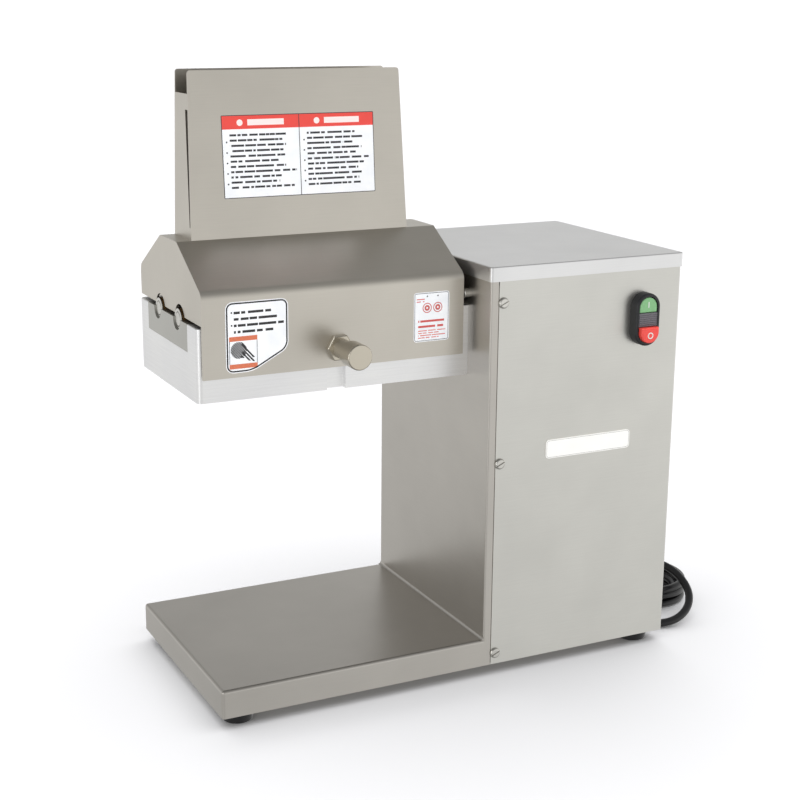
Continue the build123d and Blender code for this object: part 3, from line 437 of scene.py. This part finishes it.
# ---- material helpers ----
MATH, VECTOR_MATH = "ShaderNodeMath", "ShaderNodeVectorMath"
NOISE, MAP_RANGE, RAMP = "ShaderNodeTexNoise", "ShaderNodeMapRange", "ShaderNodeValToRGB"
COORDINATES, SEPARATE = "ShaderNodeTexCoord", "ShaderNodeSeparateXYZ"
BUMP, PRINCIPLED = "ShaderNodeBump", "ShaderNodeBsdfPrincipled"


def linear(hex_colour):
    """sRGB hex value as linear RGBA."""
    channels = [int(hex_colour[i : i + 2], 16) / 255 for i in (1, 3, 5)]
    return tuple(c / 12.92 if c <= 0.04045 else ((c + 0.055) / 1.055) ** 2.4 for c in channels) + (1.0,)


def add_node(tree, kind, links=None, **settings):
    """Add a node. Settings are its properties, the stops of its ramp, or values of its inputs by name;
    links come from outputs, or are numbers."""
    node = tree.nodes.new(kind)
    for name, value in settings.items():
        if name == "stops":
            elements = node.color_ramp.elements
            while len(elements) < len(value):
                elements.new(0.5)
            for element, (place, colour) in zip(elements, value):
                element.position, element.color = place, colour
        elif hasattr(node, name):
            setattr(node, name, value)
        else:
            node.inputs[name.replace("_", " ")].default_value = value
    for socket, source in (links or {}).items():
        if isinstance(source, (int, float)):
            node.inputs[socket].default_value = source
        else:
            tree.links.new(source, node.inputs[socket])
    return node


def new_material(name):
    """Empty node material with its tree and output."""
    material = bpy.data.materials.new(name)
    material.use_nodes = True
    tree = material.node_tree
    tree.nodes.clear()
    return material, tree, add_node(tree, "ShaderNodeOutputMaterial")


def shades(hex_colour, spread):
    """Ramp stops from the colour darkened to the colour lightened by a share."""
    base = linear(hex_colour)[:3]
    low, high = (tuple(min(1.0, c * share) for c in base) + (1.0,) for share in (1 - spread, 1 + spread))
    return [(0.3, low), (0.7, high)]


# ---- metals ----
METAL_CLOUD = 80 * MM


def brushed_metal(name, colour, roughness, grain_mm=0.9, cloud=0.035, streak=0.018, bump_mm=0.005):
    """Metal brushed along X: fine lines across the height of upright faces and the depth of level ones,
    and slow cloudy changes of tone. Real brushing is some 0.1 mm wide, too fine to show, so the lines
    are drawn as wide as grain_mm, and 45 times as long."""
    material, tree, output = new_material(name)
    place = add_node(tree, COORDINATES).outputs["Object"]
    normal = add_node(tree, COORDINATES).outputs["Normal"]
    facing_up = add_node(tree, SEPARATE, {0: normal}).outputs["Z"]
    flatness = add_node(tree, MATH, {0: facing_up}, operation="ABSOLUTE").outputs[0]
    axes = add_node(tree, SEPARATE, {0: place}).outputs
    fine = 1 / (grain_mm * MM)
    coarse = fine / 45
    level = add_node(tree, MATH, {0: flatness, 1: 0.5}, operation="GREATER_THAN").outputs[0]
    depth_scale = add_node(tree, MATH, {0: level, 1: fine, 2: coarse}, operation="MULTIPLY_ADD").outputs[0]
    across = add_node(tree, MATH, {0: axes["X"], 1: coarse}, operation="MULTIPLY").outputs[0]
    depth = add_node(tree, MATH, {0: axes["Y"], 1: depth_scale}, operation="MULTIPLY").outputs[0]
    height = add_node(tree, MATH, {0: axes["Z"], 1: fine}, operation="MULTIPLY").outputs[0]
    grain_place = add_node(tree, "ShaderNodeCombineXYZ", {0: across, 1: depth, 2: height}).outputs[0]
    grain = add_node(tree, NOISE, {"Vector": grain_place}, Scale=1.0, Detail=2.0).outputs["Fac"]
    clouds = add_node(tree, NOISE, {"Vector": place}, Scale=1 / METAL_CLOUD, Detail=3.0).outputs["Fac"]
    tone = add_node(tree, RAMP, {"Fac": clouds}, stops=shades(colour, cloud)).outputs["Color"]
    limits = {"From_Min": 0.3, "From_Max": 0.7, "To_Min": 1 - streak, "To_Max": 1 + streak}
    lines = add_node(tree, MAP_RANGE, {"Value": grain}, **limits).outputs["Result"]
    tinted = add_node(tree, VECTOR_MATH, {0: tone, 1: lines}, operation="MULTIPLY").outputs[0]
    limits = {"To_Min": roughness - 0.05, "To_Max": roughness + 0.05}
    rough = add_node(tree, MAP_RANGE, {"Value": grain}, **limits).outputs["Result"]
    bump = add_node(tree, BUMP, {"Height": grain}, Strength=0.3, Distance=bump_mm * MM).outputs["Normal"]
    surface = {"Base Color": tinted, "Roughness": rough, "Normal": bump}
    shader = add_node(tree, PRINCIPLED, surface, Metallic=1.0)
    tree.links.new(shader.outputs[0], output.inputs["Surface"])
    return material


# ---- plastics, paint and rubber ----
MOULDED_CLOUD = 30 * MM


def moulded(name, colour, roughness, speck=0.05, texture_mm=0.8, bump_mm=0.05):
    """Moulded, cast or painted surface: nearly even colour, and a fine texture that breaks up its highlight."""
    material, tree, output = new_material(name)
    place = add_node(tree, COORDINATES).outputs["Object"]
    scale = 1 / (texture_mm * MM)
    grain = add_node(tree, NOISE, {"Vector": place}, Scale=scale, Detail=2.0).outputs["Fac"]
    clouds = add_node(tree, NOISE, {"Vector": place}, Scale=1 / MOULDED_CLOUD, Detail=2.0).outputs["Fac"]
    tone = add_node(tree, RAMP, {"Fac": clouds}, stops=shades(colour, speck)).outputs["Color"]
    limits = {"To_Min": roughness - 0.06, "To_Max": roughness + 0.06}
    rough = add_node(tree, MAP_RANGE, {"Value": clouds}, **limits).outputs["Result"]
    bump = add_node(tree, BUMP, {"Height": grain}, Strength=0.25, Distance=bump_mm * MM).outputs["Normal"]
    shader = add_node(tree, PRINCIPLED, {"Base Color": tone, "Roughness": rough, "Normal": bump})
    tree.links.new(shader.outputs[0], output.inputs["Surface"])
    return material


# ---- printed film ----
class Print:
    """Layers of ink on a label's white film. Places are in mm from the label's lower left corner."""

    def __init__(self, name, origin, up):
        self.material, self.tree, self.output = new_material(name)
        place = add_node(self.tree, COORDINATES).outputs["Object"]
        offset = add_node(self.tree, VECTOR_MATH, {0: place}, operation="SUBTRACT")
        offset.inputs[1].default_value = origin
        self.across = self.project(offset.outputs[0], X_AXIS)
        self.up = self.project(offset.outputs[0], up)
        film = add_node(self.tree, NOISE, {"Vector": place}, Scale=60.0).outputs["Fac"]
        white = [(0.3, linear("#EFF2F6")), (0.7, linear("#FAFBFD"))]
        self.colour = add_node(self.tree, RAMP, {"Fac": film}, stops=white).outputs["Color"]

    def add(self, kind, *sources, **settings):
        """First output of a new node in this material, fed by links or numbers in the order of its inputs."""
        return add_node(self.tree, kind, dict(enumerate(sources)), **settings).outputs[0]

    def project(self, offset, direction):
        """Distance in mm along a direction."""
        along = add_node(self.tree, VECTOR_MATH, {0: offset}, operation="DOT_PRODUCT")
        along.inputs[1].default_value = direction / MM
        return along.outputs["Value"]

    def within(self, value, low, high):
        """1 where a value lies between two limits."""
        return self.add(MATH, value, (low + high) / 2, (high - low) / 2, operation="COMPARE")

    def both(self, *masks):
        """1 where every mask is 1."""
        joined = masks[0]
        for mask in masks[1:]:
            joined = self.add(MATH, joined, mask, operation="MULTIPLY")
        return joined

    def area(self, left, bottom, right, top):
        """Mask of a rectangle."""
        return self.both(self.within(self.across, left, right), self.within(self.up, bottom, top))

    def repeated(self, value, pitch, low, high):
        """1 over the same part, from low to high, of every pitch along a value."""
        turn = self.add(MATH, value, pitch, operation="DIVIDE")
        return self.within(self.add(MATH, turn, operation="FRACT"), low, high)

    def ink(self, mask, hex_colour):
        """Lay a colour over what is printed so far."""
        mix = add_node(self.tree, "ShaderNodeMix", {0: mask, 6: self.colour}, data_type="RGBA")
        mix.inputs[7].default_value = linear(hex_colour)
        self.colour = mix.outputs[2]

    def edge(self, left, bottom, right, top, width, hex_colour):
        """Ink a rectangle's outline."""
        inside = self.area(left + width, bottom + width, right - width, top - width)
        outside = self.add(MATH, 1.0, inside, operation="SUBTRACT")
        self.ink(self.both(self.area(left, bottom, right, top), outside), hex_colour)

    def lines(self, left, bottom, right, top, pitch, word, hex_colour, seed=0.0):
        """Ink rows of blank bars, broken into words of uneven length, each row with its own end."""
        rise = self.add(MATH, self.up, bottom, operation="SUBTRACT")
        row_place = self.add(MATH, rise, pitch, operation="DIVIDE")
        stripe = self.within(self.add(MATH, row_place, operation="FRACT"), 0.26, 0.66)
        row = self.add(MATH, self.add(MATH, row_place, operation="FLOOR"), seed, operation="ADD")
        chance = add_node(self.tree, "ShaderNodeTexWhiteNoise", {"W": row}, noise_dimensions="1D")
        chance = chance.outputs["Value"]
        end = self.add(MATH, chance, -0.3 * (right - left), right, operation="MULTIPLY_ADD")
        shifted = self.add(MATH, chance, 900.0, self.across, operation="MULTIPLY_ADD")
        word_place = self.add(MATH, shifted, word, operation="DIVIDE")
        gap = add_node(self.tree, NOISE, {"W": word_place}, noise_dimensions="1D", Scale=1.0)
        words = self.add(MATH, gap.outputs["Fac"], 0.39, operation="GREATER_THAN")
        before_end = self.add(MATH, self.across, end, operation="LESS_THAN")
        self.ink(self.both(self.area(left, bottom, right, top), stripe, before_end, words), hex_colour)

    def distance(self, x, z):
        """Distance in mm from a point."""
        squares = []
        for value, middle in ((self.across, x), (self.up, z)):
            offset = self.add(MATH, value, middle, operation="SUBTRACT")
            offset = self.add(MATH, offset, operation="ABSOLUTE")
            squares.append(self.add(MATH, offset, 2.0, operation="POWER"))
        return self.add(MATH, self.add(MATH, *squares, operation="ADD"), operation="SQRT")

    def done(self):
        """Finish the label: glossy vinyl under a clear overprint."""
        gloss = {"Roughness": 0.32, "Coat_Weight": 0.3, "Coat_Roughness": 0.2}
        shader = add_node(self.tree, PRINCIPLED, {"Base Color": self.colour}, **gloss)
        self.tree.links.new(shader.outputs[0], self.output.inputs["Surface"])
        return self.material


def print_chute_label():
    """Bordered notice in two columns: red heads over rows of blank dark bars."""
    width, height = CHUTE_LABEL
    sheet = Print("vinyl_label_chute", chute_foot, chute_up)
    middle = width / 2
    head = height - 13.5
    sheet.ink(sheet.area(0.0, head, width, height), "#E5453C")
    for left, right, seed in ((0.0, middle, 1.0), (middle, width, 7.0)):
        sheet.ink(sheet.area(left + 27, head + 3.4, right - 16, head + 9.2), "#F7E6E3")
        sheet.ink(sheet.within(sheet.distance(left + 19, head + 6.2), 0.0, 3.1), "#F7E6E3")
        sheet.lines(left + 8, 8.0, right - 4, head - 3, 5.05, 4.5, "#2C2C31", seed)
        bullets = sheet.repeated(sheet.up, 10.1, 0.3, 0.45)
        sheet.ink(sheet.both(sheet.area(left + 4, 8.0, left + 5.5, head - 3), bullets), "#2C2C31")
    sheet.ink(sheet.area(middle - 0.4, 0.0, middle + 0.4, height), "#2A2A30")
    sheet.edge(-1.0, -1.0, width + 1, height + 1, 1.7, "#2A2A30")
    return sheet.done()


def print_guard_label():
    """Notice with four rows of bars above an orange-edged box that holds a striped disc and slanting bars."""
    width, height = GUARD_LABEL
    sheet = Print("vinyl_label_guard", guard_place, Z_AXIS)
    sheet.lines(8.5, height - 32.0, width - 3, height - 7.0, 6.2, 4.5, "#1D1D20", 3.0)
    for row in (0, 2):
        sheet.ink(sheet.within(sheet.distance(6.3, height - 10.2 - row * 6.2), 0.0, 0.9), "#1D1D20")
    left, bottom, right, top = 3.4, 4.0, 32.0, 35.5
    sheet.edge(left, bottom, right, top, 0.6, "#4A4A4E")
    sheet.ink(sheet.area(left, top - 4.6, right, top), "#D4704C")
    sheet.ink(sheet.area(left, bottom, right, bottom + 4.6), "#D4704C")
    slant = sheet.add(MATH, sheet.up, 0.9, sheet.across, operation="MULTIPLY_ADD")
    stripes = sheet.repeated(slant, 2.3, 0.0, 0.78)
    disc = sheet.within(sheet.distance(13.0, 22.0), 0.0, 8.2)
    sheet.ink(sheet.both(disc, sheet.area(left + 1, 12.0, 22.0, 30.0), stripes), "#1D1D20")
    for shift, low, high in ((30.5, 14.0, 22.0), (34.0, 11.0, 20.0), (37.5, 10.0, 21.0), (41.0, 14.0, 28.0)):
        bar = sheet.within(slant, shift - 1.1, shift + 1.1)
        sheet.ink(sheet.both(bar, sheet.area(15.0, low, 29.0, high)), "#1D1D20")
    return sheet.done()


def print_roller_label():
    """Notice with two rings above rows of red bars."""
    width, height = ROLLER_LABEL
    sheet = Print("vinyl_label_rollers", roller_place, Z_AXIS)
    for x in (15.0, 27.0):
        ring = sheet.distance(x, height - 16.0)
        sheet.ink(sheet.within(ring, 4.2, 5.2), "#C9605C")
        sheet.ink(sheet.within(ring, 1.0, 3.0), "#C9605C")
        sheet.ink(sheet.within(sheet.distance(x, height - 4.2), 0.0, 0.8), "#4A4A4E")
    sheet.lines(3.0, height - 10.5, 15.0, height - 5.5, 2.5, 3.0, "#D0605C", 2.0)
    sheet.lines(5.0, 13.0, width - 3, 24.0, 5.5, 6.0, "#D0504A", 11.0)
    sheet.lines(5.0, 3.0, width - 4, 12.6, 2.4, 5.0, "#DB6A62", 17.0)
    return sheet.done()


# ---- finishes by slot ----
finishes = {
    # stainless sheet with a brushed satin finish: soft reflections, drawn out across the grain
    # the base's grey is set darker than the lid's, partly as painted shade for the head and cabinet over the
    # platform
    "stainless_sheet": brushed_metal("stainless_brushed_base_painted_shade", "#C6C2BC", 0.36),
    "stainless_cover": brushed_metal("stainless_brushed_cover", "#DAD9D4", 0.38),
    "stainless_lid": brushed_metal("stainless_brushed_lid", "#E9E9EA", 0.34),
    "stainless_guard": brushed_metal("stainless_brushed_guard", "#D2CDC4", 0.36),
    # aluminium casting, milled and brushed: paler and bluer than the sheet, with a coarser grain
    "machined_aluminium": brushed_metal("aluminium_milled", "#FBFBFD", 0.42, grain_mm=1.2, streak=0.03),
    # plate with a ground face: an even grey, darker than the casting around it
    "brushed_plate": brushed_metal("steel_ground", "#BFBEB9", 0.36),
    # polished steel of screws, pins and springs: small sharp highlights
    "bright_steel": brushed_metal("steel_polished", "#CFCDC8", 0.2, bump_mm=0.0),
    # steel turned on a lathe: satin, a little warmer than the sheet
    "turned_steel": brushed_metal("steel_satin_turned", "#C9C2B4", 0.22, bump_mm=0.0),
    # stamped knives and combs: pale and fairly bright
    "blade_steel": brushed_metal("steel_stamped", "#D4D5D6", 0.28),
    # zinc-plated brackets: cool, dull grey
    "zinc_steel": brushed_metal("steel_zinc_plated", "#C4C6C4", 0.34),
    # badge plate, anodised white: even and matt
    "badge": moulded("aluminium_badge_white_anodised", "#FBFAF6", 0.45, speck=0.02),
    # iron castings inside the cabinet: one enamelled grey, the others bare, dark and rough
    "painted_casting": moulded("iron_grey_enamel", "#5D6165", 0.45),
    "cast_iron": moulded("iron_cast", "#4B4B4A", 0.6, texture_mm=1.2, bump_mm=0.15),
    # oil-filled bearing bronze: warm brown, soft reflections
    "bronze": brushed_metal("bronze_sintered", "#A88250", 0.45),
    # moulded switch plastics: a satin black body, glossier caps and a smoked lens
    "black_plastic": moulded("polyamide_black", "#1B1C1F", 0.40),
    "green_plastic": moulded("polycarbonate_green", "#7FB57F", 0.38),
    "red_plastic": moulded("polycarbonate_red", "#EA4A42", 0.34),
    "clear_lens": moulded("polycarbonate_smoke", "#6E6B71", 0.22),
    # rubber: a matt belt, and a slightly shiny cord jacket and feet
    "belt_rubber": moulded("rubber_belt", "#191919", 0.7),
    "black_rubber": moulded("rubber_black", "#161618", 0.3),
}
slot_of = {entry["node"]: entry["material_slot"] for entry in frame["record"]["subparts"]}
for node, piece in frame["nodes"].items():
    piece.data.materials.clear()
    piece.data.materials.append(finishes[slot_of[node]])
# matt inks of the button marks and the label borders
mark_white = moulded("ink_white", "#DADDD8", 0.4)
finish_of = {
    cord: [finishes["black_rubber"]],
    strain_relief: [finishes["black_rubber"]],
    plug_body: [finishes["black_rubber"]],
    plug_blades: [finishes["bright_steel"]],
    latch_coil: [finishes["bright_steel"]],
    ribbed_lens: [finishes["clear_lens"]],
    start_mark: [mark_white],
    stop_mark: [mark_white],
    chute_label: [print_chute_label()],
    guard_label: [print_guard_label(), moulded("ink_black", "#1D1D20", 0.4)],
    roller_label: [print_roller_label(), moulded("ink_grey", "#55555B", 0.4)],
    badge_face: [finishes["badge"], moulded("ink_badge_grey", "#A9A9A6", 0.4)],
}
for piece, materials in finish_of.items():
    for material in materials:
        piece.data.materials.append(material)


# ---- world, floor and lights ----
FLOOR_GLOW = 0.02
# the world's greys by height, 0 straight down, 0.5 at the horizon and 1 straight up
WORLD_GREYS = (
    (0.0, 0.40),
    (0.2, 0.50),
    (0.29, 0.66),
    (0.372, 0.96),
    (0.43, 1.02),
    (0.475, 1.0),
    (0.5, 0.92),
    (0.55, 0.68),
    (0.6, 0.75),
    (0.7, 0.60),
    (0.85, 0.36),
    (1.0, 0.28),
)
LIGHTS_AIM = Vector((0, 0, 0.25))


def make_world():
    """A world that is bright around the horizon, dark overhead, and brighter to the right."""
    world = bpy.data.worlds.new("studio")
    world.use_nodes = True
    tree = world.node_tree
    tree.nodes.clear()
    place = add_node(tree, COORDINATES).outputs["Generated"]
    split = add_node(tree, SEPARATE, {0: place}).outputs
    height = add_node(tree, MAP_RANGE, {"Value": split["Z"]}, From_Min=-1.0).outputs["Result"]
    stops = [(level, (grey, grey, grey * 0.985, 1.0)) for level, grey in WORLD_GREYS]
    grey = add_node(tree, RAMP, {"Fac": height}, stops=stops).outputs["Color"]
    limits = {"From_Min": 0.2, "From_Max": 0.45, "To_Min": 0.82, "To_Max": 1.08}
    rightward = add_node(tree, MAP_RANGE, {"Value": split["X"]}, **limits).outputs["Result"]
    glow = add_node(tree, VECTOR_MATH, {0: grey, 1: rightward}, operation="MULTIPLY").outputs[0]
    background = add_node(tree, "ShaderNodeBackground", {"Color": glow}, Strength=1.0)
    output = add_node(tree, "ShaderNodeOutputWorld")
    tree.links.new(background.outputs[0], output.inputs["Surface"])
    bpy.context.scene.world = world


def make_floor():
    """White floor, out of sight of the metal's reflections."""
    shape = bmesh.new()
    bmesh.ops.create_grid(shape, x_segments=1, y_segments=1, size=200.0)
    mesh = bpy.data.meshes.new("floor")
    shape.to_mesh(mesh)
    shape.free()
    floor = bpy.data.objects.new("floor", mesh)
    bpy.context.scene.collection.objects.link(floor)
    # plain matt paper, with a faint glow that keeps its shadows soft
    material, tree, output = new_material("white_paper")
    paper = {"Roughness": 0.9, "Emission_Strength": FLOOR_GLOW}
    colours = {"Base_Color": linear("#CECED0"), "Emission_Color": linear("#FFFFFF")}
    shader = add_node(tree, PRINCIPLED, **colours, **paper)
    tree.links.new(shader.outputs[0], output.inputs["Surface"])
    mesh.materials.append(material)
    floor.visible_glossy = False


def hang(lamp, place, seen_in_metal):
    """Put a lamp at a place, turned towards the object."""
    light = bpy.data.objects.new(lamp.name, lamp)
    light.location = place
    light.rotation_euler = (LIGHTS_AIM - Vector(place)).to_track_quat("-Z", "Y").to_euler()
    bpy.context.scene.collection.objects.link(light)
    light.visible_glossy = seen_in_metal


def make_lights():
    """A broad light from overhead, which gives the shadow, and a weak upright strip at the left."""
    sky = bpy.data.lights.new("sky_panel", "SUN")
    sky.energy = 4.4
    sky.angle = math.radians(110)
    hang(sky, (0.15, 0.22, 2.2), seen_in_metal=False)
    strip = bpy.data.lights.new("left_strip", "AREA")
    strip.shape = "RECTANGLE"
    strip.size, strip.size_y = 0.35, 1.6
    strip.energy = 6.5
    hang(strip, (-1.9, -1.2, 0.5), seen_in_metal=True)


make_world()
make_floor()
make_lights()
bpy.context.scene.view_settings.view_transform = "Standard"
